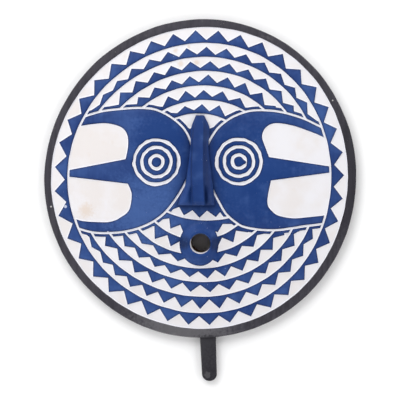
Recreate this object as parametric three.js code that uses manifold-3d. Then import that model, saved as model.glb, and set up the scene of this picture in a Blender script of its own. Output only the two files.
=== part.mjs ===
// A round wooden wall mask, carved from one board and painted: a domed face with a hollow back, a
// raised nose and mouth, chip-carved rings of teeth, ringed eyes between pale wings, and a handle.
// Millimetres. The mask lies on its back: +Z points out of the face and +Y towards its top.

import * as THREE from "three";
import { mergeVertices } from "three/addons/utils/BufferGeometryUtils.js";
import Module from "manifold-3d";

const wasm = await Module();
wasm.setup();

// The board: a dome that thins towards its edge, hollowed from behind inside a flat land
const DISC_WIDTH = 501;
const DISC_HEIGHT = 511.5;
const EDGE_THICKNESS = 15;
const EDGE_ROUNDING = 1.5;
const DOME_RISE = 26;
const WALL_THICKNESS = 17;
const LAND_WIDTH = 28;

// The handle below the disc, to the right of the middle
const HANDLE_LENGTH = 69.8;
const HANDLE_WIDTH = 26;
const HANDLE_END_WIDTH = 23.5;
const HANDLE_END_DEPTH = 14;
const HANDLE_STEP = 2.5;
const HANDLE_ROUNDING = 3;
const HANDLE_OFFSET = 11.3;
const HANDLE_LEAN = 3.2;

// The chip carving
const CARVING_DEPTH = 2.2;
const RIM_WIDTH = 13.2;
const LINE_WIDTH = 3.2;
const BASE_BAND = 5;
const TIP_GAP = 6.3;
const RIM_TIP_GAP = 5.3;
const PATCH_BORDER = 4.5;
const EYE_LINE_WIDTH = 5;

// The nose, cut off square below, and the mouth: a bore in a rounded boss
const NOSE_LENGTH = 143.6;
const NOSE_WIDTH = 59;
const NOSE_HEIGHT = 25;
const MOUTH_BORE = 32.3;
const MOUTH_WALL_SIDE = 13.3;
const MOUTH_WALL_END = 19.3;
const MOUTH_HEIGHT = 11;
const MOUTH_SLANT = new THREE.Vector3(0.113, 0.174, -1);
const ROOT_DEPTH = 8;

// Places on the face are shares of the disc's mean radius, from its centre
const DISC_RADIUS = (DISC_WIDTH + DISC_HEIGHT) / 4;
const OVALNESS = (DISC_HEIGHT - DISC_WIDTH) / (DISC_HEIGHT + DISC_WIDTH);
const NOSE_TOP = 0.3996;
const MOUTH_CENTRE = [-0.003, -0.41];
const EYES = [[-0.278, 0.105], [0.241, 0.108]];
const EYE_LINES = [0.14, 0.093, 0.042];

// How the disc's edge and the rim's inner edge stray from the oval: to a centre of their own, into an
// oval along and across the face, and into three swells
const DISC_EDGE = { centre: [0.0021, 0.0025], oval: [0, 0.0037], swell: 0.0041 };
const RIM_EDGE = { centre: [-0.0003, 0.0058], oval: [-0.003, 0.0058], swell: 0.0077 };

// The carved lines from the rim inwards stray in the same way from a circle. Their arcs of teeth have
// their start, end, pitch and one tip's place in degrees clockwise from the top.
const RINGS = [
  { radius: 0.8445, centre: [0, 0.005], oval: [0.01, 0.0026], swell: 0.008, arcs: [[0, 360, 9, 6.06]] },
  { radius: 0.7643, centre: [-0.008, 0.0125], oval: [-0.0073, 0.0036], swell: 0.0097,
    arcs: [[-90, 90, 8.63, 2.7], [90, 172, 8.96, 127], [172, 270, 8.3, 180]] },
  { radius: 0.6734, centre: [-0.0036, 0.0143], oval: [-0.0074, 0.0036], swell: 0.0086,
    arcs: [[-90, 90, 9.5, 4.6], [90, 270, 9.95, 175.2]] },
  { radius: 0.5841, centre: [-0.0045, 0.0118], oval: [-0.0075, 0.0049], swell: 0.0041,
    arcs: [[-90, 90, 10.4, 4.4], [90, 270, 10.45, 176.3]] },
  { radius: 0.4997, centre: [0, 0.009], oval: [-0.0126, 0.0101], swell: 0,
    arcs: [[-90, 90, 12, 2], [90, 270, 13.4, 182]] },
  { radius: 0.397, centre: [-0.0165, 0.014], oval: [0, 0], swell: 0,
    arcs: [[-90, 90, 13.65, 0.9], [90, 180, 14, 152.5], [180, 270, 13.6, 217.5]] },
  { radius: 0.298, centre: [0, 0], oval: [0, 0], swell: 0,
    arcs: [[-90, 90, 22.7, -0.75], [90, 180, 18.3, 144.2], [180, 270, 14.5, 211.3]] },
];

// The outer teeth drift from an even pitch: a slow wave with its lead, and a quick one, in degrees
const TOOTH_DRIFT = [1.9, 25, 1.5];

// The chin arc: part of a circle of its own, with teeth above it
const CHIN_CENTRE = [0.0375, 0.371];
const CHIN_RADIUS = 0.634;
const CHIN_TEETH = [90, 270, 9.15, 184];
const CHIN_TIP_GAP = 4;
const CHIN_TOOTH_HEIGHT = 11;
const CHIN_HALF_WIDTH = 0.35;

// The patches round the eyes: each outline runs from the top of its outer end round to the bottom
const PATCHES = [
  [[-0.81, 0.36], [-0.75, 0.384], [-0.628, 0.419], [-0.499, 0.435], [-0.369, 0.44], [-0.265, 0.4225],
    [-0.149, 0.351], [-0.084, 0.267], [-0.055, 0.16], [-0.062, 0.06], [-0.1, -0.015], [-0.135, -0.083],
    [-0.2135, -0.194], [-0.304, -0.265], [-0.4, -0.308], [-0.499, -0.33], [-0.596, -0.336],
    [-0.693, -0.33], [-0.777, -0.304], [-0.84, -0.27]],
  [[0.82, 0.29], [0.758, 0.325], [0.615, 0.386], [0.485, 0.419], [0.4, 0.426], [0.323, 0.4225],
    [0.259, 0.406], [0.194, 0.377], [0.129, 0.3285], [0.084, 0.273], [0.048, 0.2], [0.038, 0.1],
    [0.058, 0], [0.084, -0.07], [0.149, -0.194], [0.194, -0.245], [0.259, -0.291], [0.323, -0.307],
    [0.388, -0.317], [0.485, -0.317], [0.583, -0.304], [0.68, -0.291], [0.758, -0.281], [0.83, -0.27]],
];

// The pale wings: a curve from the outer end round the eye to the corner by the blue beam, and the
// beam's outer end
const WINGS = [
  { curve: [[-0.84, 0.32], [-0.758, 0.335], [-0.615, 0.351], [-0.524, 0.335], [-0.479, 0.306],
    [-0.459, 0.26], [-0.459, 0.195], [-0.473, 0.124]], beam: [-0.9, 0.043] },
  { curve: [[-0.86, -0.22], [-0.777, -0.259], [-0.693, -0.271], [-0.57, -0.271], [-0.499, -0.239],
    [-0.453, -0.2], [-0.437, -0.135], [-0.437, -0.083], [-0.459, -0.032]], beam: [-0.9, 0.021] },
  { curve: [[0.85, 0.22], [0.771, 0.267], [0.647, 0.315], [0.583, 0.335], [0.518, 0.3475],
    [0.453, 0.3475], [0.402, 0.312], [0.388, 0.26], [0.402, 0.215], [0.431, 0.137]],
    beam: [0.9, 0.066] },
  { curve: [[0.85, -0.22], [0.771, -0.2325], [0.68, -0.242], [0.583, -0.249], [0.492, -0.2325],
    [0.453, -0.2065], [0.424, -0.168], [0.424, -0.109], [0.4435, -0.012]], beam: [0.9, 0.05] },
];

// The nose from its top to its tip: how far along, its feet and ridge as shares of the nose's width
// from the face's middle, and its height
const NOSE_STATIONS = [
  { along: 0, left: -0.125, right: 0.093, ridge: [-0.09, 0.06], height: 0.14 },
  { along: 0.15, left: -0.262, right: 0.25, ridge: [-0.172, 0.06], height: 0.36 },
  { along: 0.34, left: -0.275, right: 0.215, ridge: [-0.204, 0.052], height: 0.58 },
  { along: 0.61, left: -0.357, right: 0.283, ridge: [-0.226, 0.052], height: 0.8 },
  { along: 0.78, left: -0.425, right: 0.338, ridge: [-0.213, 0.065], height: 0.9 },
  { along: 0.9, left: -0.54, right: 0.365, ridge: [-0.195, 0.075], height: 0.96 },
  { along: 0.965, left: -0.6, right: 0.376, ridge: [-0.189, 0.081], height: 0.99 },
  { along: 1, left: -0.6186, right: 0.3814, ridge: [-0.185, 0.0845], height: 0.86 },
];

// The nose's flanks: where the wing and the crease lie between foot and ridge, their heights above
// the nostrils and at them, and where along the nose it flares
const WING_PLACE = 0.3;
const CREASE_PLACE = 0.75;
const WING_HEIGHTS = [0.33, 0.42];
const CREASE_HEIGHTS = [0.78, 0.44];
const NOSTRIL_FLARE = [0.62, 0.92];

// The boss of the mouth: shares of its width and height
const MOUTH_PROFILE = [[1, 0], [0.89, 0.24], [0.775, 0.62], [0.66, 0.93], [0.59, 1], [0, 1]];

// How finely the surfaces are faceted, and how far the cutting shapes run past the wood
const DISC_SIDES = 54;
const CIRCLE_SIDES = 54;
const DOME_STEPS = [0, 0.2, 0.37, 0.53, 0.69, 0.84];
const CAVITY_STEPS = [0, 0.3, 0.55, 0.8, 1];
const CAVITY_SIDES = 36;
const PATCH_SIDES = 36;
const WING_SIDES = 14;
const EYE_SIDES = 22;
const CLEAR_ABOVE = 100;
const CLEAR_BELOW = -20;
const CLEAR_SIDE = 50;
const ANGLE_SLACK = 0.01;

const radians = THREE.MathUtils.degToRad;

// The point on the face at a share of the disc's radius
function facePoint([x, y]) {
  return new THREE.Vector2(x * DISC_RADIUS, y * DISC_RADIUS);
}

// The point at a distance and at an angle clockwise from the top of a circle's centre
function clockPoint(radius, degrees, centre = new THREE.Vector2()) {
  const angle = radians(degrees);
  return new THREE.Vector2(centre.x + radius * Math.sin(angle), centre.y + radius * Math.cos(angle));
}

// How far a hand-cut curve strays from round at an angle, as a share of the disc's radius
function straying({ centre, oval, swell }, degrees) {
  const angle = radians(degrees);
  const offset = centre[0] * Math.sin(angle) + centre[1] * Math.cos(angle);
  const stretch = oval[0] * Math.cos(2 * angle) + oval[1] * Math.sin(2 * angle);
  return offset + stretch + swell * Math.sin(3 * angle);
}

function discOval(degrees) {
  return 1 + OVALNESS * Math.cos(2 * radians(degrees));
}

function discEdge(degrees) {
  return DISC_RADIUS * (discOval(degrees) + straying(DISC_EDGE, degrees));
}

function rimInnerEdge(degrees) {
  return DISC_RADIUS * (discOval(degrees) + straying(RIM_EDGE, degrees)) - RIM_WIDTH;
}

// The outer edge of a ring's carved line
function ringLine(ring, degrees) {
  return DISC_RADIUS * (RINGS[ring].radius + straying(RINGS[ring], degrees));
}

// The height of the dome's surface over a point of the face
function domeHeight(x, y) {
  const share = Math.hypot(x, y) / DISC_RADIUS;
  return EDGE_THICKNESS + DOME_RISE * (1 - share * share);
}

// A closed solid from a geometry, without the flat triangles that a lathe leaves on its axis
function solid(geometry) {
  geometry.deleteAttribute("normal");
  geometry.deleteAttribute("uv");
  const merged = mergeVertices(geometry);
  const corners = merged.index.array;
  const triangles = [];
  for (let i = 0; i < corners.length; i += 3) {
    const [a, b, c] = corners.slice(i, i + 3);
    if (a !== b && b !== c && c !== a) {
      triangles.push(a, b, c);
    }
  }
  return new wasm.Manifold(new wasm.Mesh({
    numProp: 3,
    vertProperties: new Float32Array(merged.attributes.position.array),
    triVerts: new Uint32Array(triangles),
  }));
}

// An upright prism over an outline, tall enough to pass through the whole mask
function prism(points) {
  const geometry = new THREE.ExtrudeGeometry(new THREE.Shape(points), {
    depth: CLEAR_ABOVE - CLEAR_BELOW,
    bevelEnabled: false,
  });
  geometry.translate(0, 0, CLEAR_BELOW);
  return solid(geometry);
}

// The points of a closed curve whose radius depends on the angle
function loop(radiusAt, sides, centre) {
  const points = [];
  for (let i = 0; i < sides; i += 1) {
    const degrees = 360 * i / sides;
    points.push(clockPoint(radiusAt(degrees), degrees, centre));
  }
  return points;
}

// A turned solid about the face's axis, pushed out of round as the disc's edge is
function turned(profile, sides) {
  const geometry = new THREE.LatheGeometry(profile, sides);
  geometry.rotateX(Math.PI / 2);
  const position = geometry.attributes.position;
  for (let i = 0; i < position.count; i += 1) {
    const x = position.getX(i);
    const y = position.getY(i);
    const degrees = THREE.MathUtils.radToDeg(Math.atan2(x, y));
    const out = discEdge(degrees) / DISC_RADIUS;
    position.setXY(i, x * out, y * out);
  }
  return solid(geometry);
}

// The dome's profile from its middle to a radius, lowered by a depth
function domeProfile(depth, radius) {
  const profile = DOME_STEPS.map((share) => share * DISC_RADIUS);
  profile.push(radius);
  return profile.map((r) => new THREE.Vector2(r, domeHeight(r, 0) - depth));
}

// The plain disc before it is hollowed or carved
function blankDisc() {
  const profile = [
    ...domeProfile(0, DISC_RADIUS - EDGE_ROUNDING),
    new THREE.Vector2(DISC_RADIUS, EDGE_THICKNESS - EDGE_ROUNDING),
    new THREE.Vector2(DISC_RADIUS, EDGE_ROUNDING),
    new THREE.Vector2(DISC_RADIUS - EDGE_ROUNDING, 0),
    new THREE.Vector2(0, 0),
  ];
  return turned(profile.reverse(), DISC_SIDES);
}

// The hollow of the back: a shallow bowl inside the flat land
function hollow() {
  const radius = DISC_RADIUS - LAND_WIDTH;
  const depth = EDGE_THICKNESS + DOME_RISE - WALL_THICKNESS;
  const bowl = (share) => new THREE.Vector2(share * radius, depth * (1 - share * share));
  const profile = CAVITY_STEPS.map(bowl);
  profile.push(new THREE.Vector2(radius, CLEAR_BELOW), new THREE.Vector2(0, CLEAR_BELOW));
  return turned(profile.reverse(), CAVITY_SIDES);
}

// All that lies above the floor of the carving
function carvingLayer() {
  const reach = DISC_RADIUS + CLEAR_ABOVE;
  const profile = [
    ...domeProfile(CARVING_DEPTH, DISC_RADIUS),
    new THREE.Vector2(reach, 0),
    new THREE.Vector2(reach, CLEAR_ABOVE),
    new THREE.Vector2(0, CLEAR_ABOVE),
  ];
  return turned(profile, DISC_SIDES);
}

// The tips of an arc of teeth, in degrees
function tipAngles([from, to, pitch, tip]) {
  const angles = [];
  const first = tip + pitch * Math.ceil((from - tip) / pitch);
  for (let degrees = first; degrees < to - ANGLE_SLACK; degrees += pitch) {
    angles.push(degrees);
  }
  return angles;
}

// An outer tooth's place, drifted from the even pitch
function drifted(degrees) {
  const [slow, lead, quick] = TOOTH_DRIFT;
  return degrees + slow * Math.sin(radians(degrees + lead)) - quick * Math.sin(radians(2 * degrees));
}

// A toothed outline: straight cuts from each tip down to the valley half-way to the next
function toothed(tips, tipRadius, valleyRadius, centre) {
  const points = [];
  tips.forEach((tip, i) => {
    const next = i + 1 < tips.length ? tips[i + 1] : tips[0] + 360;
    const valley = (tip + next) / 2;
    points.push(clockPoint(tipRadius(tip), tip, centre));
    points.push(clockPoint(valleyRadius(valley), valley, centre));
  });
  return points;
}

// A ring's toothed outline: from a plain band on its own line to tips short of the line outside it
function ringTeeth(ring) {
  const even = RINGS[ring].arcs.flatMap(tipAngles);
  const tips = ring === 0 ? even.map(drifted) : even;
  const tipRadius = (degrees) => (
    ring === 0
      ? rimInnerEdge(degrees) - RIM_TIP_GAP
      : ringLine(ring - 1, degrees) - TIP_GAP
  );
  return toothed(tips, tipRadius, (degrees) => ringLine(ring, degrees) + BASE_BAND);
}

// A patch's outline moved outwards, closed beyond the disc
function patchOutline(points, outset) {
  const path = new THREE.SplineCurve(points.map(facePoint)).getPoints(PATCH_SIDES);
  const side = Math.sign(path[0].x);
  const moved = path.map((point, i) => {
    const before = path[Math.max(i - 1, 0)];
    const after = path[Math.min(i + 1, path.length - 1)];
    const along = after.clone().sub(before).normalize();
    return new THREE.Vector2(point.x + side * along.y * outset, point.y - side * along.x * outset);
  });
  const beyond = side * (DISC_RADIUS + CLEAR_SIDE);
  moved.push(new THREE.Vector2(beyond, moved.at(-1).y), new THREE.Vector2(beyond, moved[0].y));
  return moved;
}

// The cut between two outlines, one inside the other
function cutBetween(outer, inner) {
  return prism(outer).subtract(prism(inner));
}

// The rings of teeth, cut off at the patches' borders
function ringCuts(patches, borders) {
  let cuts = prism(loop(rimInnerEdge, CIRCLE_SIDES)).subtract(prism(ringTeeth(0)));
  for (let ring = 1; ring < RINGS.length; ring += 1) {
    const outer = loop((degrees) => ringLine(ring - 1, degrees), CIRCLE_SIDES);
    const inner = loop((degrees) => ringLine(ring - 1, degrees) - LINE_WIDTH, CIRCLE_SIDES);
    const teeth = cutBetween(outer, ringTeeth(ring)).subtract(borders);
    const line = cutBetween(outer, inner);
    cuts = cuts.add(teeth).add(ring === 1 ? line : line.subtract(patches));
  }
  return cuts;
}

// The arc under the nose with its row of teeth
function chinCuts(patches, borders) {
  const centre = facePoint(CHIN_CENTRE);
  const radius = CHIN_RADIUS * DISC_RADIUS;
  const tips = tipAngles(CHIN_TEETH);
  const outer = loop(() => radius, CIRCLE_SIDES, centre);
  const inner = loop(() => radius - LINE_WIDTH, CIRCLE_SIDES, centre);
  const tipRadius = radius - CHIN_TIP_GAP;
  const teeth = toothed(tips, () => tipRadius, () => tipRadius - CHIN_TOOTH_HEIGHT, centre);
  const half = CHIN_HALF_WIDTH * DISC_RADIUS;
  const noseEnd = NOSE_TOP * DISC_RADIUS - NOSE_LENGTH;
  const window = prism([
    new THREE.Vector2(-half, noseEnd),
    new THREE.Vector2(half, noseEnd),
    new THREE.Vector2(half, -half),
    new THREE.Vector2(-half, -half),
  ]);
  const notches = cutBetween(outer, teeth).subtract(borders);
  const line = cutBetween(outer, inner).subtract(patches);
  return notches.add(line).intersect(window);
}

// The border lines of the patches and the wings inside them
function patchCuts(patches) {
  const outside = PATCHES.map((points) => prism(patchOutline(points, LINE_WIDTH)));
  const wings = WINGS.map(({ curve, beam }) => {
    const points = new THREE.SplineCurve(curve.map(facePoint)).getPoints(WING_SIDES);
    points.push(facePoint(beam));
    return prism(points);
  });
  const insideRings = prism(loop((degrees) => ringLine(0, degrees), CIRCLE_SIDES));
  return join([...outside.map((patch) => patch.subtract(patches)), ...wings]).intersect(insideRings);
}

function join(solids) {
  return solids.reduce((whole, next) => whole.add(next));
}

// The rings round each pupil
function eyeCuts() {
  const rings = [];
  for (const eye of EYES) {
    const centre = facePoint(eye);
    for (const share of EYE_LINES) {
      const middle = share * DISC_RADIUS;
      const outer = loop(() => middle + EYE_LINE_WIDTH / 2, EYE_SIDES, centre);
      const inner = loop(() => middle - EYE_LINE_WIDTH / 2, EYE_SIDES, centre);
      rings.push(cutBetween(outer, inner));
    }
  }
  return join(rings);
}

// A closed block between two surfaces over the same grid of rows and columns
function block(upper, lower) {
  const lastRow = upper.length - 1;
  const lastColumn = upper[0].length - 1;
  const positions = [...upper.flat(), ...lower.flat()].flatMap((point) => point.toArray());
  const top = (row, column) => row * (lastColumn + 1) + column;
  const under = (row, column) => top(row, column) + positions.length / 6;
  const faces = [];
  const quad = (a, b, c, d) => faces.push(a, b, c, a, c, d);
  for (let row = 0; row < lastRow; row += 1) {
    const next = row + 1;
    for (let column = 0; column < lastColumn; column += 1) {
      quad(top(row, column), top(next, column), top(next, column + 1), top(row, column + 1));
      quad(under(row, column), under(row, column + 1), under(next, column + 1), under(next, column));
    }
    quad(top(row, 0), under(row, 0), under(next, 0), top(next, 0));
    quad(top(next, lastColumn), under(next, lastColumn), under(row, lastColumn), top(row, lastColumn));
  }
  for (let column = 0; column < lastColumn; column += 1) {
    const next = column + 1;
    quad(top(0, next), under(0, next), under(0, column), top(0, column));
    quad(top(lastRow, column), under(lastRow, column), under(lastRow, next), top(lastRow, next));
  }
  const geometry = new THREE.BufferGeometry();
  geometry.setAttribute("position", new THREE.Float32BufferAttribute(positions, 3));
  geometry.setIndex(faces);
  return solid(geometry);
}

// The nose: a flat ridge with steep flanks that flare into the nostrils, its root in the dome
function nose() {
  const { lerp, smoothstep } = THREE.MathUtils;
  const upper = NOSE_STATIONS.map(({ along, left, right, ridge, height }) => {
    const flare = smoothstep(along, ...NOSTRIL_FLARE);
    const wing = lerp(...WING_HEIGHTS, flare);
    const crease = lerp(...CREASE_HEIGHTS, flare);
    const flank = (foot, top) => [
      [foot, 0], [lerp(foot, top, WING_PLACE), wing], [lerp(foot, top, CREASE_PLACE), crease], [top, 1],
    ];
    const across = [...flank(left, ridge[0]), ...flank(right, ridge[1]).reverse()];
    const y = NOSE_TOP * DISC_RADIUS - along * NOSE_LENGTH;
    return across.map(([share, up]) => {
      const x = share * NOSE_WIDTH;
      return new THREE.Vector3(x, y, domeHeight(x, y) + up * height * NOSE_HEIGHT);
    });
  });
  const root = ({ x, y }) => new THREE.Vector3(x, y, domeHeight(x, y) - ROOT_DEPTH);
  const lower = upper.map((row) => row.map(root));
  return block(upper, lower);
}

// The rounded boss of the mouth, square to the dome under it
function mouthBoss() {
  const points = MOUTH_PROFILE.map(([out, up]) => new THREE.Vector2(out, up * MOUTH_HEIGHT));
  points.unshift(new THREE.Vector2(0, -ROOT_DEPTH), new THREE.Vector2(1, -ROOT_DEPTH));
  const centre = facePoint(MOUTH_CENTRE);
  const geometry = new THREE.LatheGeometry(points, EYE_SIDES);
  geometry.rotateX(Math.PI / 2);
  geometry.scale(MOUTH_BORE / 2 + MOUTH_WALL_SIDE, MOUTH_BORE / 2 + MOUTH_WALL_END, 1);
  geometry.rotateX(-2 * DOME_RISE * centre.y / DISC_RADIUS ** 2);
  geometry.translate(centre.x, centre.y, domeHeight(centre.x, centre.y));
  return solid(geometry);
}

// The slanting bore of the mouth, from above the boss into the hollow
function mouthBore() {
  const centre = facePoint(MOUTH_CENTRE);
  const height = domeHeight(centre.x, centre.y) + MOUTH_HEIGHT;
  const back = MOUTH_SLANT.clone().normalize();
  const geometry = new THREE.CylinderGeometry(MOUTH_BORE / 2, MOUTH_BORE / 2, 2 * height, EYE_SIDES);
  geometry.applyQuaternion(new THREE.Quaternion().setFromUnitVectors(new THREE.Vector3(0, -1, 0), back));
  geometry.translate(centre.x, centre.y, height);
  return solid(geometry);
}

// The handle: a tapering bar with a round end, its top a step below the rim and its root in the land
function handle() {
  const root = -discEdge(180) + LAND_WIDTH / 2;
  const end = -discEdge(180) - HANDLE_LENGTH;
  const half = HANDLE_WIDTH / 2;
  const endHalf = HANDLE_END_WIDTH / 2;
  const endMiddle = HANDLE_OFFSET + HANDLE_LEAN;
  const outline = new THREE.Shape();
  outline.moveTo(HANDLE_OFFSET + half, root);
  outline.lineTo(endMiddle + endHalf, end + HANDLE_END_DEPTH);
  outline.absellipse(endMiddle, end + HANDLE_END_DEPTH, endHalf, HANDLE_END_DEPTH, 0, Math.PI, true);
  outline.lineTo(HANDLE_OFFSET - half, root);
  const geometry = new THREE.ExtrudeGeometry(outline, {
    depth: EDGE_THICKNESS - HANDLE_STEP - 2 * HANDLE_ROUNDING,
    bevelSize: HANDLE_ROUNDING,
    bevelOffset: -HANDLE_ROUNDING,
    bevelThickness: HANDLE_ROUNDING,
    bevelSegments: 2,
    curveSegments: 12,
  });
  geometry.translate(0, 0, HANDLE_ROUNDING);
  return solid(geometry);
}

// The whole mask as one solid
function carvedMask() {
  const patches = join(PATCHES.map((points) => prism(patchOutline(points, 0))));
  const borders = join(PATCHES.map((points) => prism(patchOutline(points, LINE_WIDTH + PATCH_BORDER))));
  const cuts = join([
    ringCuts(patches, borders),
    chinCuts(patches, borders),
    patchCuts(patches),
    eyeCuts(),
  ]);
  return blankDisc()
    .subtract(hollow())
    .subtract(cuts.intersect(carvingLayer()))
    .add(nose())
    .add(mouthBoss())
    .subtract(mouthBore())
    .add(handle());
}

function meshOf(name, body, material) {
  const { vertProperties, triVerts } = body.getMesh();
  const geometry = new THREE.BufferGeometry();
  geometry.setAttribute("position", new THREE.BufferAttribute(vertProperties, 3));
  geometry.setIndex(new THREE.BufferAttribute(triVerts, 1));
  const mesh = new THREE.Mesh(geometry, material);
  mesh.name = name;
  return mesh;
}

const paintedWood = new THREE.MeshStandardMaterial({ color: 0x3f578c, roughness: 0.6, metalness: 0 });
const mask = new THREE.Group();
mask.add(meshOf("mask", carvedMask(), paintedWood));

// The origin is the middle of the underside
const box = new THREE.Box3().setFromObject(mask);
const middle = box.getCenter(new THREE.Vector3());
mask.position.set(-middle.x, -middle.y, -box.min.z);
mask.updateMatrixWorld(true);

export default mask;
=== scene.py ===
"""A round wooden wall mask, carved from one board and painted blue, white and black."""

import logging
import math
import random
from dataclasses import dataclass, field, replace
from enum import IntEnum
from typing import Callable

import bpy
import numpy as np
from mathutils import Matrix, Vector, kdtree, noise
from mathutils.geometry import delaunay_2d_cdt


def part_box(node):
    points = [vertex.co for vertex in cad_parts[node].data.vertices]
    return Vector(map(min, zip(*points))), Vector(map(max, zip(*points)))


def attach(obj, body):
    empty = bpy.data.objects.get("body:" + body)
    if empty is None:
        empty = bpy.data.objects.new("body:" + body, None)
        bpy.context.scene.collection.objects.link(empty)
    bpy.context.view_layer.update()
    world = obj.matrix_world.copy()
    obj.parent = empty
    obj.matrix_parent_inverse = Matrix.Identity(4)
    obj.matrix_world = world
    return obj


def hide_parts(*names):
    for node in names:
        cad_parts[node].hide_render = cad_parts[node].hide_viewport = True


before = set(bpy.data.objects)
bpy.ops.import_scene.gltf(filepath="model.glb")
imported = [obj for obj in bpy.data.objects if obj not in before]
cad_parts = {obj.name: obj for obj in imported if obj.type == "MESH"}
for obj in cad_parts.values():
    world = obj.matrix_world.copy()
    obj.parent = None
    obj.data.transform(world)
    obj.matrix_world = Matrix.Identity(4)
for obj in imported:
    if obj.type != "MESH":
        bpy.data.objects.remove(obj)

LOG = logging.getLogger("mask")
MM = 0.001
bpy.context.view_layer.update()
SEED = 7
RADIAN = 57.3
ROW_STEP = 0.866
Pair = tuple[float, float]
Triple = tuple[float, float, float]
Curve = Callable[[np.ndarray], np.ndarray]
Colour = Triple | bpy.types.NodeSocket


class Coat(IntEnum):
    """The finishes of the mask, in the order of its material slots."""

    BLUE = 0
    WHITE = 1
    BLACK = 2
    BACK = 3


def clock_point(radius: np.ndarray, degrees: np.ndarray, centre: Pair = (0.0, 0.0)) -> np.ndarray:
    """Places at a distance and an angle clockwise from the top of a centre.

    Args:
        radius: Distances in millimetres.
        degrees: Angles clockwise from the top.
        centre: The point that the angles turn about.

    Returns:
        One row of x and y for each place.
    """
    angle = np.radians(degrees)
    return np.column_stack([centre[0] + radius * np.sin(angle), centre[1] + radius * np.cos(angle)])


def spline(points: np.ndarray, steps: int) -> np.ndarray:
    """A smooth open curve through points.

    Args:
        points: The points that the curve passes, one row each.
        steps: How many pieces the curve is cut into.

    Returns:
        The points of the curve.
    """
    last = len(points) - 1
    place = np.linspace(0, last, steps + 1)
    start = np.minimum(place.astype(int), last - 1)
    share = (place - start)[:, None]
    p0 = points[np.maximum(start - 1, 0)]
    p1 = points[start]
    p2 = points[start + 1]
    p3 = points[np.minimum(start + 2, last)]
    v0 = (p2 - p0) / 2
    v1 = (p3 - p1) / 2
    cubic = (2 * (p1 - p2) + v0 + v1) * share ** 3 + (3 * (p2 - p1) - 2 * v0 - v1) * share ** 2
    return cubic + v0 * share + p1


def resampled(outline: np.ndarray, spacing: float) -> np.ndarray:
    """A closed outline with its long sides cut shorter.

    Args:
        outline: The corners, one row each.
        spacing: The longest side wanted.

    Returns:
        The outline with the corners kept and points added between them.
    """
    pieces = []
    for start, end in zip(outline, np.roll(outline, -1, axis=0)):
        count = max(1, math.ceil(float(np.hypot(*(end - start))) / spacing))
        share = np.arange(count)[:, None] / count
        pieces.append(start + (end - start) * share)
    return np.vstack(pieces)


def inside(places: np.ndarray, outline: np.ndarray) -> np.ndarray:
    """Which places lie inside a closed outline.

    Args:
        places: One row of x and y each.
        outline: The outline's corners.

    Returns:
        True or false for each place.
    """
    x, y = places[:, 0], places[:, 1]
    found = np.zeros(len(places), dtype=bool)
    for (ax, ay), (bx, by) in zip(outline, np.roll(outline, -1, axis=0)):
        if ay == by:
            continue
        rows = (ay > y) != (by > y)
        found ^= rows & (x < (bx - ax) * (y - ay) / (by - ay) + ax)
    return found


def smooth(share: np.ndarray) -> np.ndarray:
    """An even ramp from 0 to 1 that starts and ends flat."""
    share = np.clip(share, 0, 1)
    return share * share * (3 - 2 * share)


def ripple(places: np.ndarray, size: float, layer: float) -> np.ndarray:
    """Gentle random relief over the face.

    Args:
        places: One row of x and y each, in millimetres.
        size: How far apart its swells lie, in millimetres.
        layer: Picks one relief among many.

    Returns:
        A number from about -1 to 1 for each place.
    """
    return np.array([noise.noise(Vector((x / size, y / size, layer))) for x, y in places])


@dataclass(frozen=True)
class Waver:
    """A random straying: how far it goes, how far apart its swells lie, and which one it is."""

    reach: float
    size: float
    layer: float

    def at(self, places: np.ndarray) -> np.ndarray:
        """How far each place strays."""
        return self.reach * ripple(places, self.size, self.layer)


class Nearest:
    """Points in the plane, searched for the one that lies nearest to a place."""

    def __init__(self, points: np.ndarray) -> None:
        """Hold the points.

        Args:
            points: One row of x and y each.
        """
        self.tree = kdtree.KDTree(len(points))
        for number, (x, y) in enumerate(points):
            self.tree.insert((x, y, 0), number)
        self.tree.balance()

    def away(self, places: np.ndarray) -> np.ndarray:
        """The distance from each place to the nearest point."""
        return np.array([self.tree.find((x, y, 0))[2] for x, y in places])


@dataclass(frozen=True)
class Arc:
    """A run of teeth: where it starts and ends, its pitch and one tip's place, in degrees."""

    start: float
    end: float
    pitch: float
    tip: float

    def tips(self) -> list[float]:
        """Find where the arc's tips lie.

        Returns:
            Their angles in degrees.
        """
        first = self.tip + self.pitch * math.ceil((self.start - self.tip) / self.pitch)
        count = math.ceil((self.end - 0.01 - first) / self.pitch)
        return [first + self.pitch * i for i in range(count)]


@dataclass(frozen=True)
class HandCut:
    """A closed curve that strays from round, in shares of the disc's radius."""

    radius: float
    centre: Pair
    oval: Pair
    swell: float

    def at(self, degrees: np.ndarray) -> np.ndarray:
        """The curve's radius at some angles.

        Args:
            degrees: Angles clockwise from the top.

        Returns:
            The radii as shares of the disc's radius.
        """
        angle = np.radians(degrees)
        shape = self.radius + self.centre[0] * np.sin(angle) + self.centre[1] * np.cos(angle)
        shape = shape + self.oval[0] * np.cos(2 * angle) + self.oval[1] * np.sin(2 * angle)
        return shape + self.swell * np.sin(3 * angle)


@dataclass(frozen=True)
class Ring(HandCut):
    """A carved line and the teeth that stand on it."""

    arcs: tuple[Arc, ...]


@dataclass(frozen=True)
class Wing:
    """A pale wing beside an eye: its curve and the outer end of the blue beam it borders."""

    curve: tuple[Pair, ...]
    beam: Pair


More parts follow.
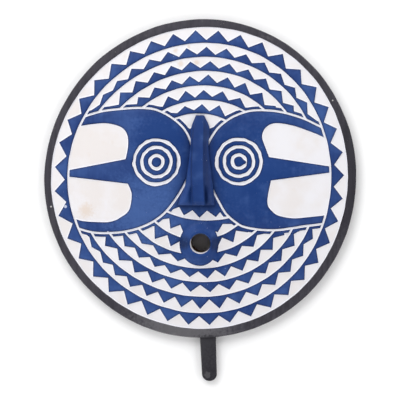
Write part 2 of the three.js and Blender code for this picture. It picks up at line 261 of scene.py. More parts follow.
@dataclass
class FacePlan:
    """Where each line, tooth, patch and ring of the face lies, in millimetres from the disc's centre."""

    width: float = 501.0
    height: float = 511.5
    rim_width: float = 13.2
    line_width: float = 3.2
    base_band: float = 5.0
    tip_gap: float = 6.3
    rim_tip_gap: float = 5.3
    edge: HandCut = HandCut(1, (0.0021, 0.0025), (0.0104, 0.0037), 0.0041)
    rim: HandCut = HandCut(1, (-0.0003, 0.0058), (0.0074, 0.0058), 0.0077)
    patch_border: float = 4.5
    eye_line: float = 5.0
    nose_top: float = 0.3996
    nose_length: float = 143.6
    handle_length: float = 69.8
    mouth_centre: Pair = (-0.003, -0.41)
    mouth_bore: float = 32.3
    mouth_wall: Pair = (13.3, 19.3)
    mouth_left: float = 3.6
    spacing: float = 1.9
    fewest_points: int = 24
    shake_layers: float = 90.0
    patch_steps: tuple[int, int] = (36, 400)
    wing_steps: tuple[int, int] = (14, 120)
    solid_turn: float = 6.667
    edge_turn: float = 0.9
    mouth_turn: float = 4.0
    side_slip: float = 0.5
    tip_slip: float = 0.5
    valley_slip: float = 0.45
    line_shake: float = 0.5
    chin_shake: float = 0.4
    eye_shake: float = 1.2
    eye_stride: float = 8.0
    beyond: float = 50.0
    edge_inset: float = 1.5
    edge_wavers: tuple[Waver, Waver] = (Waver(0.0028, 55, 12.3), Waver(0.001, 17, 4.4))
    patch_waver: Waver = Waver(0.5, 24, 31.5)
    line_waver: Waver = Waver(0.4, 30, 50)
    eyes: tuple[Pair, ...] = ((-0.278, 0.105), (0.241, 0.108))
    eye_lines: tuple[float, ...] = (0.14, 0.093, 0.042)
    pupil_point: float = 4.6
    pupil_turn: Pair = (95.0, 17.0)
    drift: Triple = (1.9, 25.0, 1.5)
    rings: tuple[Ring, ...] = (
        Ring(0.8445, (0, 0.005), (0.01, 0.0026), 0.008, (Arc(0, 360, 9, 6.06),)),
        Ring(0.7643, (-0.008, 0.0125), (-0.0073, 0.0036), 0.0097,
             (Arc(-90, 90, 8.63, 2.7), Arc(90, 172, 8.96, 127), Arc(172, 270, 8.3, 180))),
        Ring(0.6734, (-0.0036, 0.0143), (-0.0074, 0.0036), 0.0086,
             (Arc(-90, 90, 9.5, 4.6), Arc(90, 270, 9.95, 175.2))),
        Ring(0.5841, (-0.0045, 0.0118), (-0.0075, 0.0049), 0.0041,
             (Arc(-90, 90, 10.4, 4.4), Arc(90, 270, 10.45, 176.3))),
        Ring(0.4997, (0, 0.009), (-0.0126, 0.0101), 0,
             (Arc(-90, 90, 12, 2), Arc(90, 270, 13.4, 182))),
        Ring(0.397, (-0.0165, 0.014), (0, 0), 0,
             (Arc(-90, 90, 13.65, 0.9), Arc(90, 180, 14, 152.5), Arc(180, 270, 13.6, 217.5))),
        Ring(0.298, (0, 0), (0, 0), 0,
             (Arc(-90, 90, 22.7, -0.75), Arc(90, 180, 18.3, 144.2), Arc(180, 270, 14.5, 211.3))),
    )
    chin_centre: Pair = (0.0375, 0.371)
    chin_radius: float = 0.634
    chin_teeth: Arc = Arc(90, 270, 9.15, 184)
    chin_tip_gap: float = 4.0
    chin_tooth: float = 11.0
    chin_half: float = 0.35
    patches: tuple[tuple[Pair, ...], ...] = (
        ((-0.81, 0.36), (-0.75, 0.384), (-0.628, 0.419), (-0.499, 0.435), (-0.369, 0.44),
         (-0.265, 0.4225), (-0.149, 0.351), (-0.084, 0.267), (-0.055, 0.16), (-0.062, 0.06),
         (-0.1, -0.015), (-0.135, -0.083), (-0.2135, -0.194), (-0.304, -0.265), (-0.4, -0.308),
         (-0.499, -0.33), (-0.596, -0.336), (-0.693, -0.33), (-0.777, -0.304), (-0.84, -0.27)),
        ((0.82, 0.29), (0.758, 0.325), (0.615, 0.386), (0.485, 0.419), (0.4, 0.426), (0.323, 0.4225),
         (0.259, 0.406), (0.194, 0.377), (0.129, 0.3285), (0.084, 0.273), (0.048, 0.2), (0.038, 0.1),
         (0.058, 0), (0.084, -0.07), (0.149, -0.194), (0.194, -0.245), (0.259, -0.291),
         (0.323, -0.307), (0.388, -0.317), (0.485, -0.317), (0.583, -0.304), (0.68, -0.291),
         (0.758, -0.281), (0.83, -0.27)),
    )
    wings: tuple[Wing, ...] = (
        Wing(((-0.84, 0.32), (-0.758, 0.335), (-0.615, 0.351), (-0.524, 0.335), (-0.479, 0.306),
              (-0.459, 0.26), (-0.459, 0.195), (-0.473, 0.124)), (-0.9, 0.043)),
        Wing(((-0.86, -0.22), (-0.777, -0.259), (-0.693, -0.271), (-0.57, -0.271), (-0.499, -0.239),
              (-0.453, -0.2), (-0.437, -0.135), (-0.437, -0.083), (-0.459, -0.032)), (-0.9, 0.021)),
        Wing(((0.85, 0.22), (0.771, 0.267), (0.647, 0.315), (0.583, 0.335), (0.518, 0.3475),
              (0.453, 0.3475), (0.402, 0.312), (0.388, 0.26), (0.402, 0.215), (0.431, 0.137)),
             (0.9, 0.066)),
        Wing(((0.85, -0.22), (0.771, -0.2325), (0.68, -0.242), (0.583, -0.249), (0.492, -0.2325),
              (0.453, -0.2065), (0.424, -0.168), (0.424, -0.109), (0.4435, -0.012)), (0.9, 0.05)),
    )
    outlines: dict[str, np.ndarray] = field(default_factory=dict)

    def __post_init__(self) -> None:
        """Draw every outline once."""
        self.dice = random.Random(SEED)
        self.draw()

    @property
    def radius(self) -> float:
        """The disc's mean radius."""
        return (self.width + self.height) / 4

    def disc_edge(self, degrees: np.ndarray) -> np.ndarray:
        """The disc's radius at angles clockwise from the top."""
        return self.radius * self.edge.at(degrees)

    def rim_inner(self, degrees: np.ndarray) -> np.ndarray:
        """The radius of the rim's inner edge at angles clockwise from the top."""
        return self.radius * self.rim.at(degrees) - self.rim_width

    def ring_line(self, ring: int, degrees: np.ndarray) -> np.ndarray:
        """The outer edge of a ring's carved line.

        Args:
            ring: The ring, counted from the rim inwards.
            degrees: Angles clockwise from the top.

        Returns:
            The radius at each angle.
        """
        return self.radius * self.rings[ring].at(degrees)

    def loop(
        self, radius_at: Curve, centre: Pair = (0.0, 0.0), shake: float = 0.0, stride: float = 19.0,
    ) -> np.ndarray:
        """A closed curve whose radius depends on the angle.

        Args:
            radius_at: Gives the radii at an array of angles.
            centre: The curve's centre.
            shake: How far the knife strays from it, in millimetres.
            stride: How far it goes before it strays the other way.

        Returns:
            The curve's points.
        """
        size = float(np.mean(radius_at(np.array([0.0, 90.0, 180.0, 270.0]))))
        count = max(self.fewest_points, round(2 * math.pi * size / self.spacing))
        degrees = np.arange(count) * 360 / count
        points = clock_point(radius_at(degrees), degrees, centre)
        layer = self.dice.uniform(0, self.shake_layers)
        stray = shake * ripple(points, stride, layer)
        return points + (points - centre) / size * stray[:, None]

    def toothed(
        self, tips: list[float], tip_at: Curve, valley_at: Curve, centre: Pair = (0.0, 0.0),
    ) -> np.ndarray:
        """A toothed outline: straight knife cuts from tip to valley, each a little off its place.

        Args:
            tips: The tips' angles in degrees.
            tip_at: Gives a tip's radius at an angle.
            valley_at: Gives a valley's radius at an angle.
            centre: The point that the angles turn about.

        Returns:
            The outline with its long sides cut into short ones.
        """
        corners = []
        for tip, following in zip(tips, tips[1:] + [tips[0] + 360]):
            turn = self.side_slip / float(tip_at(tip)) * RADIAN
            tip_here = tip + self.dice.gauss(0, turn)
            valley = (tip + following) / 2 + self.dice.gauss(0, turn)
            out = tip_at(tip) + self.dice.gauss(0, self.tip_slip)
            corners.append(clock_point(out, tip_here, centre)[0])
            out = valley_at(valley) + self.dice.gauss(0, self.valley_slip)
            corners.append(clock_point(out, valley, centre)[0])
        return resampled(np.array(corners), self.spacing)

    def ring_teeth(self, ring: int) -> np.ndarray:
        """The toothed outline that stands on a ring's line.

        Args:
            ring: The ring, counted from the rim inwards.

        Returns:
            The outline's points.
        """
        tips = [tip for arc in self.rings[ring].arcs for tip in arc.tips()]
        if ring == 0:
            slow, lead, quick = self.drift
            tips = [
                tip + slow * math.sin(math.radians(tip + lead)) - quick * math.sin(math.radians(2 * tip))
                for tip in tips
            ]
            return self.toothed(
                tips,
                lambda degrees: self.rim_inner(degrees) - self.rim_tip_gap,
                lambda degrees: self.ring_line(0, degrees) + self.base_band,
            )
        return self.toothed(
            tips,
            lambda degrees: self.ring_line(ring - 1, degrees) - self.tip_gap,
            lambda degrees: self.ring_line(ring, degrees) + self.base_band,
        )

    def patch_outline(self, points: tuple[Pair, ...], outset: float) -> np.ndarray:
        """A patch's outline moved outwards and closed beyond the disc.

        Args:
            points: The patch's outline as shares of the disc's radius.
            outset: How far it is moved, in millimetres.

        Returns:
            The outline's points.
        """
        coarse, fine = self.patch_steps
        path = spline(spline(np.array(points) * self.radius, coarse), fine)
        side = math.copysign(1, path[0, 0])
        along = np.vstack([path[1:], path[-1:]]) - np.vstack([path[:1], path[:-1]])
        along /= np.hypot(along[:, 0], along[:, 1])[:, None]
        outwards = np.column_stack([along[:, 1], -along[:, 0]])
        moved = path + side * outset * outwards
        moved += self.patch_waver.at(moved)[:, None] * outwards
        beyond = side * (self.radius + self.beyond)
        return np.vstack([moved, [[beyond, moved[-1, 1]], [beyond, moved[0, 1]]]])

    def centre(self) -> np.ndarray:
        """Find the disc's centre from the solid's box.

        Returns:
            Its place in the model's frame, in millimetres.
        """
        around = np.arange(0, 360, self.solid_turn)
        edge = clock_point(self.disc_edge(around), around)
        low = np.array([edge[:, 0].min(), -self.disc_edge(180) - self.handle_length])
        lowest, highest = (np.array(corner[:2]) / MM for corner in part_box("mask"))
        return (lowest + highest) / 2 - (low + edge.max(axis=0)) / 2

    def draw(self) -> None:
        """Draw every outline, each under its own name."""
        around = np.arange(0, 360, self.edge_turn)
        disc = clock_point(self.disc_edge(around) - self.edge_inset, around)
        wide, small = self.edge_wavers
        self.outlines["disc"] = disc * (1 + wide.at(disc) + small.at(disc))[:, None]
        self.outlines["rim"] = self.loop(self.rim_inner, shake=self.line_shake)
        self.draw_rings()
        self.draw_chin()
        self.draw_patches()
        self.draw_eyes()
        self.draw_mouth()

    def draw_rings(self) -> None:
        """Draw the teeth of each ring and both edges of each line."""
        for ring in range(len(self.rings)):
            self.outlines[f"teeth {ring}"] = self.ring_teeth(ring)
            if ring:
                edge = self.loop(lambda degrees: self.ring_line(ring - 1, degrees), shake=self.line_shake)
                self.outlines[f"line {ring}"] = edge
                size = np.hypot(edge[:, 0], edge[:, 1])[:, None]
                waver = replace(self.line_waver, layer=self.line_waver.layer + ring)
                width = self.line_width + waver.at(edge)[:, None]
                self.outlines[f"line inside {ring}"] = edge * (1 - width / size)

    def draw_chin(self) -> None:
        """Draw the arc under the nose, its teeth and the window that it shows in."""
        centre = (self.chin_centre[0] * self.radius, self.chin_centre[1] * self.radius)
        size = self.chin_radius * self.radius
        for name, out in (("chin", size), ("chin inside", size - self.line_width)):
            self.outlines[name] = self.loop(lambda degrees: out + 0 * degrees, centre, self.chin_shake)
        tip = size - self.chin_tip_gap
        self.outlines["chin teeth"] = self.toothed(
            self.chin_teeth.tips(), lambda degrees: tip, lambda degrees: tip - self.chin_tooth, centre,
        )
        half = self.chin_half * self.radius
        end = self.nose_top * self.radius - self.nose_length
        window = np.array([[-half, end], [half, end], [half, -half], [-half, -half]])
        self.outlines["chin window"] = resampled(window, self.spacing)

    def draw_patches(self) -> None:
        """Draw the blue patches, their pale lines and borders, and the wings."""
        line, border = self.line_width, self.line_width + self.patch_border
        for side, points in enumerate(self.patches):
            for name, outset in (("patch", 0), ("patch line", line), ("border", border)):
                self.outlines[f"{name} {side}"] = self.patch_outline(points, outset)
        coarse, fine = self.wing_steps
        for number, wing in enumerate(self.wings):
            curve = spline(spline(np.array(wing.curve) * self.radius, coarse), fine)
            beam = np.array([wing.beam]) * self.radius
            self.outlines[f"wing {number}"] = resampled(np.vstack([curve, beam]), self.spacing)

    def draw_eyes(self) -> None:
        """Draw both edges of each ring round the eyes, with the point of the right pupil."""
        turn, wide = self.pupil_turn
        for side, eye in enumerate(self.eyes):
            centre = (eye[0] * self.radius, eye[1] * self.radius)
            for number, share in enumerate(self.eye_lines):
                for name, way in (("outer", 0.5), ("inner", -0.5)):
                    size = share * self.radius + way * self.eye_line
                    point = self.pupil_point if (side, number, name) == (1, 2, "inner") else 0
                    self.outlines[f"eye {side} {number} {name}"] = self.loop(
                        lambda degrees: size + point * np.exp(-((degrees - turn) / wide) ** 2),
                        centre, self.eye_shake, self.eye_stride,
                    )

    def draw_mouth(self) -> None:
        """Draw the oval foot of the mouth, fuller at the left."""
        turn = np.radians(np.arange(0, 360, self.mouth_turn))
        across = (self.mouth_bore / 2 + self.mouth_wall[0]) * np.sin(turn)
        across = across - self.mouth_left * np.clip(-np.sin(turn), 0, 1)
        down = (self.mouth_bore / 2 + self.mouth_wall[1]) * np.cos(turn)
        middle = np.array(self.mouth_centre) * self.radius
        self.outlines["mouth"] = np.column_stack([middle[0] + across, middle[1] + down])

    def coat(self, places: np.ndarray) -> np.ndarray:
        """Which paint lies on each place of the face.

        Args:
            places: One row of x and y each.

        Returns:
            The Coat of each place.
        """
        held = {name: inside(places, outline) for name, outline in self.outlines.items()}
        patches = held["patch 0"] | held["patch 1"]
        borders = held["border 0"] | held["border 1"]
        white = held["rim"] & ~held["teeth 0"]
        for ring in range(1, len(self.rings)):
            outer = held[f"line {ring}"]
            white |= outer & ~held[f"teeth {ring}"] & ~borders
            line = outer & ~held[f"line inside {ring}"]
            white |= line if ring == 1 else line & ~patches
        chin = held["chin"] & ~held["chin teeth"] & ~borders
        chin |= held["chin"] & ~held["chin inside"] & ~patches
        white |= chin & held["chin window"]
        lines = (held["patch line 0"] | held["patch line 1"]) & ~patches
        wings = held["wing 0"] | held["wing 1"] | held["wing 2"] | held["wing 3"]
        white |= (lines | wings) & held["line 1"]
        for side in range(len(self.eyes)):
            for number in range(len(self.eye_lines)):
                white |= held[f"eye {side} {number} outer"] & ~held[f"eye {side} {number} inner"]
        white &= ~held["mouth"]
        paint = np.where(white, int(Coat.WHITE), int(Coat.BLUE))
        paint[~held["rim"]] = int(Coat.BLACK)
        return paint


@dataclass
class Board:
    """The carved disc: its relief, side and hollow back, in millimetres."""

    plan: FacePlan
    edge: float = 15.0
    rounding: float = 1.5
    rise: float = 26.0
    wall: float = 17.0
    land: float = 28.0
    depth: float = 2.2
    lip: float = 0.8
    lip_width: float = 2.1
    slope_width: float = 0.95
    mouth_height: float = 11.0
    mouth_lip: float = 4.5
    mouth_dip: float = 2.4
    boss_fullness: Pair = (1.1, 0.85)
    hand_swell: Waver = Waver(0.16, 26, 3.3)
    floor_swell: Waver = Waver(0.10, 14, 8.1)
    floor_marks: Waver = Waver(0.10, 4.5, 5.7)
    edge_parts: Triple = (0.0, 0.33, 0.67)
    edge_rows: Pair = (0.9, 2.2)
    shortest_side: float = 0.5
    inner_share: float = 0.995
    plan_weld: float = 1e-3
    sheet_weld: float = 1e-4
    row_clear: float = 0.85
    apart: float = 1.0
    coarse: float = 4.6
    coarse_clear: float = 3.3
    fine: float = 1.9
    bowl_rows: tuple[float, ...] = (0.985, 0.95, 0.9, 0.83, 0.75, 0.66, 0.56, 0.45, 0.34, 0.22, 0.1)

    def dome(self, places: np.ndarray) -> np.ndarray:
        """The height of the plain dome.

        Args:
            places: One row of x and y each.

        Returns:
            The height at each place.
        """
        degrees = np.degrees(np.arctan2(places[:, 0], places[:, 1]))
        share = np.hypot(places[:, 0], places[:, 1]) / self.plan.disc_edge(degrees)
        return self.edge + self.rise * (1 - share * share)

    def boss(self, places: np.ndarray) -> np.ndarray:
        """The height that the mouth's boss adds to the dome.

        Args:
            places: One row of x and y each.

        Returns:
            The height added at each place.
        """
        plan = self.plan
        away = places - np.array(plan.mouth_centre) * plan.radius
        bore = plan.mouth_bore / 2
        out = np.hypot(away[:, 0], away[:, 1])
        turn = np.arctan2(away[:, 0], away[:, 1])
        reach = bore + np.hypot(plan.mouth_wall[0] * np.sin(turn), plan.mouth_wall[1] * np.cos(turn))
        share = np.clip((reach - out) / (reach - bore), 0, 1)
        lip = np.clip(1 - (out - bore) / self.mouth_lip, 0, 1)
        full, round_off = self.boss_fullness
        return self.mouth_height * smooth(share * full) ** round_off - self.mouth_dip * lip ** 2

    def arrangement(self) -> tuple[np.ndarray, np.ndarray]:
        """Find the sides of all outlines that part two paints.

        Returns:
            The corners and, as pairs of their numbers, the sides.
        """
        corners, sides = [], []
        for outline in self.plan.outlines.values():
            first = len(corners)
            corners.extend(map(tuple, outline))
            count = len(outline)
            sides.extend((first + i, first + (i + 1) % count) for i in range(count))
        points, _, faces, *_ = delaunay_2d_cdt([Vector(p) for p in corners], sides, [], 0, self.plan_weld)
        points = np.array([tuple(p) for p in points])
        faces = np.array(faces)
        coats = self.plan.coat(points[faces].mean(axis=1))
        parted: dict[tuple[int, int], int] = {}
        borders = []
        for face, paint in zip(faces, coats):
            for a, b in ((face[0], face[1]), (face[1], face[2]), (face[2], face[0])):
                side = (min(a, b), max(a, b))
                if side in parted:
                    if parted.pop(side) != paint:
                        borders.append(side)
                else:
                    parted[side] = paint
        return points, np.array(borders)

    def sheet(self) -> tuple[np.ndarray, np.ndarray, np.ndarray]:
        """Lay out the face in triangles that follow every carved edge.

        Returns:
            The places, the triangles and the Coat of each triangle.
        """
        points, borders = self.arrangement()
        used, numbers = np.unique(borders, return_inverse=True)
        points = points[used]
        borders = numbers.reshape(-1, 2)
        ends = points[borders]
        along = ends[:, 1] - ends[:, 0]
        self.edges = Nearest(np.vstack([ends[:, 0] + along * share for share in self.edge_parts]))
        disc, mouth = self.plan.outlines["disc"], self.plan.outlines["mouth"]
        loose = np.vstack([*self.beside(ends), self.thinned(self.grid(self.coarse), self.coarse_clear)])
        loose = loose[inside(loose, disc * self.inner_share) & ~inside(loose, mouth)]
        fine = self.grid(self.fine)
        fine = fine[inside(fine, mouth)]
        everything = np.vstack([points, disc, loose, fine])
        first = len(points)
        rim = [(first + i, first + (i + 1) % len(disc)) for i in range(len(disc))]
        sides = [tuple(map(int, pair)) for pair in borders] + rim
        everything = [Vector(p) for p in everything]
        places, _, faces, *_ = delaunay_2d_cdt(everything, sides, [], 0, self.sheet_weld)
        places = np.array([tuple(p) for p in places])
        faces = np.array(faces)
        centres = places[faces].mean(axis=1)
        kept = inside(centres, disc)
        return places, faces[kept], self.plan.coat(centres[kept])

    def beside(self, ends: np.ndarray) -> list[np.ndarray]:
        """Lay rows of places along both sides of every carved edge.

        Args:
            ends: The two ends of each piece of edge.

        Returns:
            The places of each row.
        """
        along = ends[:, 1] - ends[:, 0]
        length = np.hypot(along[:, 0], along[:, 1])
        long = length > self.shortest_side
        middle = ends.mean(axis=1)[long]
        normal = (np.column_stack([along[:, 1], -along[:, 0]]) / length[:, None])[long]
        return [
            self.thinned(middle + side * offset * normal, self.row_clear * offset)
            for offset in self.edge_rows for side in (1, -1)
        ]

    def grid(self, step: float) -> np.ndarray:
        """Staggered places all over the disc.

        Args:
            step: The distance between neighbours.

        Returns:
            One row of x and y each.
        """
        reach = self.plan.radius
        rows = np.arange(-reach, reach, step * ROW_STEP)
        x, y = np.meshgrid(np.arange(-reach, reach, step), rows)
        x[1::2] += step / 2
        return np.column_stack([x.ravel(), y.ravel()])

    def thinned(self, places: np.ndarray, clear: float) -> np.ndarray:
        """Leave out places too near a carved edge or each other.

        Args:
            places: One row of x and y each.
            clear: The least distance from a carved edge.

        Returns:
            The places that are left.
        """
        places = places[self.edges.away(places) >= clear]
        _, first = np.unique(np.round(places / self.apart), axis=0, return_index=True)
        return places[np.sort(first)]

    def heights(self, places: np.ndarray, white: np.ndarray, away: np.ndarray) -> np.ndarray:
        """The height of the carved face over places.

        Args:
            places: One row of x and y each.
            white: Which places lie in the cuts.
            away: The distance from each place to the nearest carved edge.

        Returns:
            The heights in millimetres.
        """
        raised = -self.lip * (1 - smooth(away / self.lip_width)) + self.hand_swell.at(places)
        floor = self.depth * (1 + self.floor_swell.at(places)) + self.floor_marks.at(places)
        cut = -self.lip - (floor - self.lip) * smooth(away / self.slope_width)
        return self.dome(places) + np.where(white, cut, raised) + self.boss(places)

    def build(self) -> bpy.types.Object:
        """Make the whole disc as one closed mesh.

        Returns:
            The disc, in millimetres about the disc's centre.
        """
        places, faces, coats = self.sheet()
        white = np.zeros(len(places), dtype=bool)
        white[faces[coats == int(Coat.WHITE)].ravel()] = True
        heights = self.heights(places, white, self.edges.away(places))
        board = new_piece("mask_board", np.column_stack([places, heights]).tolist(), faces.tolist())
        board.data.polygons.foreach_set("material_index", coats.astype(np.int32))
        bpy.ops.object.mode_set(mode="EDIT")
        bpy.ops.mesh.select_mode(type="EDGE")
        bpy.ops.mesh.select_all(action="SELECT")
        bpy.ops.mesh.region_to_loop()
        self.close_back()
        bpy.ops.object.mode_set(mode="OBJECT")
        return board

    def close_back(self) -> None:
        """Carry the open edge round the rim and across the hollow back."""
        top, size = self.edge, self.plan.radius
        turn = self.rounding * (1 - math.sqrt(0.5))
        profile = [
            (size - turn, top - turn), (size, top - self.rounding), (size, self.rounding),
            (size - turn, turn), (size - self.rounding, 0), (size - self.land, 0),
        ]
        bowl = self.edge + self.rise - self.wall
        for share in self.bowl_rows:
            profile.append((share * (size - self.land), bowl * (1 - share * share)))
        radius, height = size - self.rounding, top
        for out, up in profile:
            bpy.ops.mesh.extrude_region_move(TRANSFORM_OT_translate={"value": (0, 0, up - height)})
            ratio = out / radius
            bpy.ops.transform.resize(value=(ratio, ratio, 1), center_override=(0, 0, 0))
            radius, height = out, up
        bpy.ops.mesh.edge_face_add()
        bpy.ops.mesh.select_all(action="SELECT")
        bpy.ops.mesh.normals_make_consistent(inside=False)


def new_piece(name: str, points: list, faces: list) -> bpy.types.Object:
    """Make an object from points and faces, and pick it.

    Args:
        name: Its name.
        points: Its points.
        faces: The numbers of each face's points.

    Returns:
        The new object.
    """
    mesh = bpy.data.meshes.new(name)
    mesh.from_pydata(points, [], faces)
    piece = bpy.data.objects.new(name, mesh)
    bpy.context.collection.objects.link(piece)
    pick(piece)
    return piece


def pick(piece: bpy.types.Object) -> None:
    """Select one object alone and make it active.

    Args:
        piece: The object.
    """
    bpy.ops.object.select_all(action="DESELECT")
    piece.select_set(True)
    bpy.context.view_layer.objects.active = piece


def coated(piece: bpy.types.Object, coats: list[bpy.types.Material]) -> bpy.types.Object:
    """Give a piece all the finishes, in the order of Coat, and keep which face has which.

    Args:
        piece: The piece.
        coats: The materials of the finishes.

    Returns:
        The same piece.
    """
    faces = piece.data.polygons
    worn = np.empty(len(faces), dtype=np.int32)
    faces.foreach_get("material_index", worn)
    for coat in coats:
        piece.data.materials.append(coat)
    faces.foreach_set("material_index", worn)
    return piece


def fuse(whole: bpy.types.Object, part: bpy.types.Object, operation: str) -> None:
    """Join a part to the whole or cut it away, and remove the part.

    Args:
        whole: The object that is changed.
        part: The object that is joined or cut away.
        operation: UNION or DIFFERENCE.
    """
    pick(whole)
    change = whole.modifiers.new("fuse", "BOOLEAN")
    change.object = part
    change.operation = operation
    change.solver = "MANIFOLD"
    change.material_mode = "INDEX"
    bpy.ops.object.modifier_apply(modifier=change.name)
    bpy.data.objects.remove(part)


@dataclass(frozen=True)
class Station:
    """A cut across the nose: how far along, its feet, its ridge and its height, as shares."""

    along: float
    left: float
    right: float
    ridge: Pair
    height: float


@dataclass
class Nose:
    """The nose: a flat ridge with steep flanks that flare into the nostrils."""

    board: Board
    length: float = 143.6
    width: float = 59.0
    height: float = 25.0
    root: float = 8.0
    cut_count: int = 42
    flare: Pair = (0.62, 0.3)
    # Painted shade on the nose: a dark band beside the ridge's left edge, and shade on the right flank that
    # lightens towards its foot.
    ridge_shadow: Triple = (1.6, 1.7, 0.75)
    shaded_flank: Triple = (0.5, 2.5, 0.75)
    lit_foot: Pair = (0.9, 0.35)
    fade_at_top: float = 8.0
    hand_swell: Waver = Waver(0.35, 9, 44.4)
    swell_above: float = 3.0
    flank: tuple[Triple, ...] = (
        (0, 0.05, 0.05), (0.06, 0.2, 0.26), (0.2, 0.33, 0.47), (0.4, 0.43, 0.57), (0.56, 0.53, 0.59),
        (0.7, 0.66, 0.54), (0.8, 0.78, 0.47), (0.88, 0.88, 0.57), (0.95, 0.97, 0.9), (1, 1, 1),
    )
    stations: tuple[Station, ...] = (
        Station(0, -0.125, 0.093, (-0.09, 0.06), 0.14),
        Station(0.15, -0.262, 0.25, (-0.172, 0.06), 0.36),
        Station(0.34, -0.275, 0.215, (-0.204, 0.052), 0.58),
        Station(0.61, -0.357, 0.283, (-0.226, 0.052), 0.8),
        Station(0.78, -0.425, 0.338, (-0.213, 0.065), 0.9),
        Station(0.9, -0.54, 0.365, (-0.195, 0.075), 0.96),
        Station(0.955, -0.59, 0.374, (-0.189, 0.081), 0.97),
        Station(0.985, -0.612, 0.38, (-0.186, 0.083), 0.86),
        Station(1, -0.6186, 0.3814, (-0.185, 0.0845), 0.62),
    )

    def cuts(self) -> list[Station]:
        """The stations with many more between them."""
        table = np.array([
            [s.along, s.left, s.right, s.ridge[0], s.ridge[1], s.height] for s in self.stations
        ])
        return [Station(a, b, c, (d, e), f) for a, b, c, d, e, f in spline(table, self.cut_count)]

    def depth(self, station: Station) -> float:
        """How far up the face a station lies, in millimetres."""
        return self.board.plan.nose_top * self.board.plan.radius - station.along * self.length

    def footprint(self) -> np.ndarray:
        """Find the outline of the nose on the face.

        Returns:
            Its points, in millimetres from the disc's centre.
        """
        cuts = self.cuts()
        left = [(cut.left * self.width, self.depth(cut)) for cut in cuts]
        right = [(cut.right * self.width, self.depth(cut)) for cut in cuts]
        return resampled(np.array(left + right[::-1]), 2.0)

    def ridge_and_flank_shade(self, places: np.ndarray) -> np.ndarray:
        """How much painted shade lies beside the ridge and on the right flank.

        Args:
            places: One row of x and y each, all on the nose.

        Returns:
            From 0 to 1 for each place.
        """
        cuts = self.cuts()
        along = (self.depth(self.stations[0]) - places[:, 1]) / self.length
        marks = [cut.along for cut in cuts]
        ridge_left, ridge_right, foot = (
            np.interp(along, marks, [share * self.width for share in shares])
            for shares in zip(*((*cut.ridge, cut.right) for cut in cuts))
        )
        x = places[:, 0]
        aside, wide, dark = self.ridge_shadow
        left = np.exp(-((x - ridge_left + aside) / wide) ** 2) * dark
        start, lighter = self.lit_foot
        down = smooth((x - ridge_right) / (foot - ridge_right) * 2 - start)
        aside, wide, dark = self.shaded_flank
        right = smooth((x - ridge_right + aside) / wide) * (dark - lighter * down)
        return np.clip(np.maximum(left, right), 0, 1) * smooth(along * self.fade_at_top)

    def section(self, station: Station) -> list[Pair]:
        """The outline of one cut across the nose.

        Args:
            station: Where the cut lies and how it is shaped.

        Returns:
            Places across in millimetres and heights as shares, from the left foot to the right.
        """
        start, length = self.flare
        flare = float(smooth(np.array((station.along - start) / length)))
        sides = ((station.left, station.ridge[0], 1), (station.right, station.ridge[1], -1))
        points = []
        for foot, ridge, way in sides:
            flank = [
                (foot + (ridge - foot) * across, plain + (flared - plain) * flare)
                for across, plain, flared in self.flank
            ]
            points.extend(flank[::way])
        return [(share * self.width, up * station.height) for share, up in points]

    def build(self) -> bpy.types.Object:
        """Make the nose as a closed mesh with its root in the board.

        Returns:
            The nose, in millimetres about the disc's centre.
        """
        rows = []
        for cut in self.cuts():
            section = self.section(cut)
            places = np.array([[x, self.depth(cut)] for x, _ in section])
            dome = self.board.dome(places)
            lift = np.array([up for _, up in section]) * self.height
            lift = lift + self.hand_swell.at(places) * (lift > self.swell_above)
            rows.append(np.column_stack([places, dome + lift]))
        count = len(rows[0])
        verts = [tuple(p) for row in rows for p in row]
        feet = [(p[0], p[1], p[2] - self.root) for row in rows for p in (row[0], row[-1])]
        base = len(verts)
        verts.extend(feet)
        faces = []
        for i in range(len(rows) - 1):
            for j in range(count - 1):
                a = i * count + j
                faces.append((a, a + count, a + count + 1, a + 1))
            left, right = base + 2 * i, base + 2 * i + 1
            first, last = i * count, i * count + count - 1
            faces.append((first, left, left + 2, first + count))
            faces.append((last, last + count, right + 2, right))
            faces.append((left, right, right + 2, left + 2))
        faces.append(tuple(range(count)) + (base + 1, base))
        final = (len(rows) - 1) * count
        below = base + 2 * len(rows)
        faces.append(tuple(range(final + count - 1, final - 1, -1)) + (below - 2, below - 1))
        nose = new_piece("nose", verts, faces)
        bpy.ops.object.mode_set(mode="EDIT")
        bpy.ops.mesh.select_all(action="SELECT")
        bpy.ops.mesh.normals_make_consistent(inside=False)
        bpy.ops.object.mode_set(mode="OBJECT")
        return nose


@dataclass
class Mouth:
    """The slanting round hole through the boss of the mouth."""

    board: Board
    slant: Triple = (0.113, 0.174, -1.0)
    sides: int = 72
    painted_depth: float = 14.0

    def cutter(self) -> bpy.types.Object:
        """Make the shape that is cut away for the hole.

        Returns:
            A slanting cylinder, in millimetres about the disc's centre.
        """
        plan = self.board.plan
        place = np.array([plan.mouth_centre]) * plan.radius
        height = float(self.board.dome(place)[0]) + self.board.mouth_height
        turn = Vector((0, 0, -1)).rotation_difference(Vector(self.slant)).to_euler()
        bpy.ops.object.select_all(action="DESELECT")
        bpy.ops.mesh.primitive_cylinder_add(
            vertices=self.sides, radius=plan.mouth_bore / 2, depth=2 * height,
            location=(place[0, 0], place[0, 1], height), rotation=turn,
        )
        cutter = bpy.context.object
        bpy.ops.object.transform_apply(location=True, rotation=True, scale=True)
        painted = height - self.painted_depth
        bpy.ops.object.mode_set(mode="EDIT")
        bpy.ops.mesh.select_all(action="SELECT")
        bpy.ops.mesh.bisect(plane_co=(0, 0, painted), plane_no=(0, 0, 1))
        bpy.ops.object.mode_set(mode="OBJECT")
        for face in cutter.data.polygons:
            face.material_index = int(Coat.WHITE if face.center.z > painted else Coat.BACK)
        return cutter


